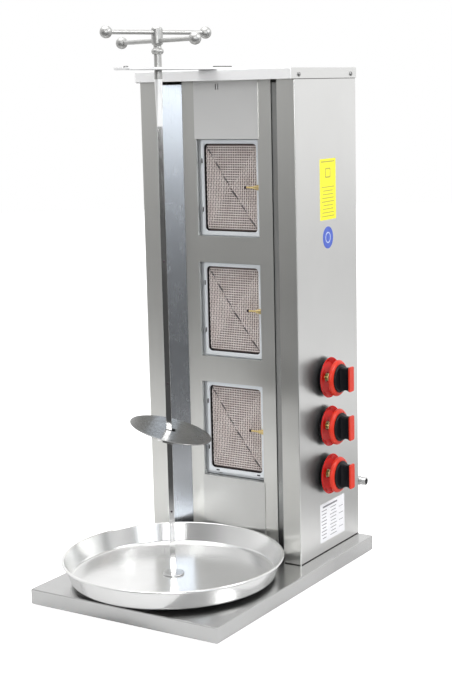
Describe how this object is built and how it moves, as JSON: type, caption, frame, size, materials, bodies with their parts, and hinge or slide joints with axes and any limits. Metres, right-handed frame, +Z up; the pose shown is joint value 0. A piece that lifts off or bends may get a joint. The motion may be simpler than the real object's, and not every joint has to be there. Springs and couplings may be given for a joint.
{
  "type": "vertical rotisserie broiler",
  "caption": "Countertop gas vertical broiler: sheet-steel tower with stacked mesh-fronted burners, red-skirted side knobs, hand-turned spit with tilted disc and a round drip tray.",
  "frame": {"origin": "on the floor, under the middle of the bounding box", "axes": "+X towards the knobs' side, +Y from the spit towards the casing's back, +Z up"},
  "size_m": [0.448, 0.659, 1.0591],
  "materials": {
    "brushed_stainless": "brushed",
    "polished_steel": "polished",
    "spun_aluminium": "spun, bright",
    "zinc_sheet": "zinc coated",
    "heat_stained_mesh": "woven wire, heat stained",
    "burner_ceramic": "perforated ceramic, matt",
    "brass": "machined",
    "red_plastic": "gloss",
    "black_plastic": "satin",
    "black_rubber": "matt"
  },
  "bodies": {
    "frame": {"base_plate": "brushed_stainless", "pivot_socket": "brushed_stainless", "casing_left": "brushed_stainless", "casing_right": "brushed_stainless", "reflector_left": "brushed_stainless", "reflector_right": "brushed_stainless", "burner_panel": "brushed_stainless", "top_blank": "brushed_stainless", "bottom_blank": "brushed_stainless", "back_panel": "brushed_stainless", "cap": "brushed_stainless", "gas_manifold": "brushed_stainless", "gas_inlet": "brushed_stainless", "top_arm": "polished_steel", "foot_front_left": "black_rubber", "foot_front_right": "black_rubber", "foot_back_left": "black_rubber", "foot_back_right": "black_rubber", "burner_body_lower": "zinc_sheet", "burner_mesh_lower": "heat_stained_mesh", "ceramic_plates_lower": "burner_ceramic", "thermocouple_lower": "brass", "gas_valve_lower": "brass", "supply_tube_lower": "brass", "knob_bezel_lower": "red_plastic", "burner_body_middle": "zinc_sheet", "burner_mesh_middle": "heat_stained_mesh", "ceramic_plates_middle": "burner_ceramic", "thermocouple_middle": "brass", "gas_valve_middle": "brass", "supply_tube_middle": "brass", "knob_bezel_middle": "red_plastic", "burner_body_upper": "zinc_sheet", "burner_mesh_upper": "heat_stained_mesh", "ceramic_plates_upper": "burner_ceramic", "thermocouple_upper": "brass", "gas_valve_upper": "brass", "supply_tube_upper": "brass", "knob_bezel_upper": "red_plastic"},
    "drip_tray": {"drip_tray": "spun_aluminium"},
    "spit_lift": {"spit_foot": "polished_steel"},
    "spit": {"spit": "polished_steel", "handle_hub": "brushed_stainless", "handle_rod_upper": "brushed_stainless", "handle_rod_lower": "brushed_stainless", "handle_ball_upper_a": "brushed_stainless", "handle_ball_upper_b": "brushed_stainless", "handle_ball_lower_a": "brushed_stainless", "handle_ball_lower_b": "brushed_stainless"},
    "disc": {"meat_disc": "polished_steel"},
    "disc_screw": {"disc_screw": "polished_steel"},
    "plug_lower": {"valve_plug_lower": "polished_steel"},
    "knob_lower": {"knob_skirt_lower": "red_plastic", "knob_grip_lower": "black_plastic"},
    "plug_middle": {"valve_plug_middle": "polished_steel"},
    "knob_middle": {"knob_skirt_middle": "red_plastic", "knob_grip_middle": "black_plastic"},
    "plug_upper": {"valve_plug_upper": "polished_steel"},
    "knob_upper": {"knob_skirt_upper": "red_plastic", "knob_grip_upper": "black_plastic"}
  },
  "joints": [
    {"name": "tray_turn", "type": "hinge", "parent": "frame", "child": "drip_tray", "pos_m": [-0.0128, -0.1183, 0.0387], "axis": [0, 0, 1], "continuous": true},
    {"name": "spit_lift", "type": "slide", "parent": "frame", "child": "spit_lift", "axis": [0, 0, 1], "range_m": [0, 0.02]},
    {"name": "spit_turn", "type": "hinge", "parent": "spit_lift", "child": "spit", "pos_m": [-0.0128, -0.1183, 0.0441], "axis": [0, 0, 1], "continuous": true},
    {"name": "disc_height", "type": "slide", "parent": "spit", "child": "disc", "axis": [0, 0, 1], "range_m": [-0.2, 0.54]},
    {"name": "disc_screw_turn", "type": "hinge", "parent": "disc", "child": "disc_screw", "pos_m": [-0.01472, -0.11907, 0.30127], "axis": [-0.7927, -0.5551, 0.2521], "range_deg": [0, 360]},
    {"name": "valve_turn_lower", "type": "hinge", "parent": "frame", "child": "plug_lower", "pos_m": [0.167, 0.1655, 0.192], "axis": [1, 0, 0], "range_deg": [0, 180]},
    {"name": "knob_push_lower", "type": "slide", "parent": "plug_lower", "child": "knob_lower", "axis": [1, 0, 0], "range_m": [-0.0035, 0], "stiffness_N_per_m": 900},
    {"name": "valve_turn_middle", "type": "hinge", "parent": "frame", "child": "plug_middle", "pos_m": [0.167, 0.1655, 0.289], "axis": [1, 0, 0], "range_deg": [0, 180]},
    {"name": "knob_push_middle", "type": "slide", "parent": "plug_middle", "child": "knob_middle", "axis": [1, 0, 0], "range_m": [-0.0035, 0], "stiffness_N_per_m": 900},
    {"name": "valve_turn_upper", "type": "hinge", "parent": "frame", "child": "plug_upper", "pos_m": [0.167, 0.1655, 0.386], "axis": [1, 0, 0], "range_deg": [0, 180]},
    {"name": "knob_push_upper", "type": "slide", "parent": "plug_upper", "child": "knob_upper", "axis": [1, 0, 0], "range_m": [-0.0035, 0], "stiffness_N_per_m": 900}
  ]
}
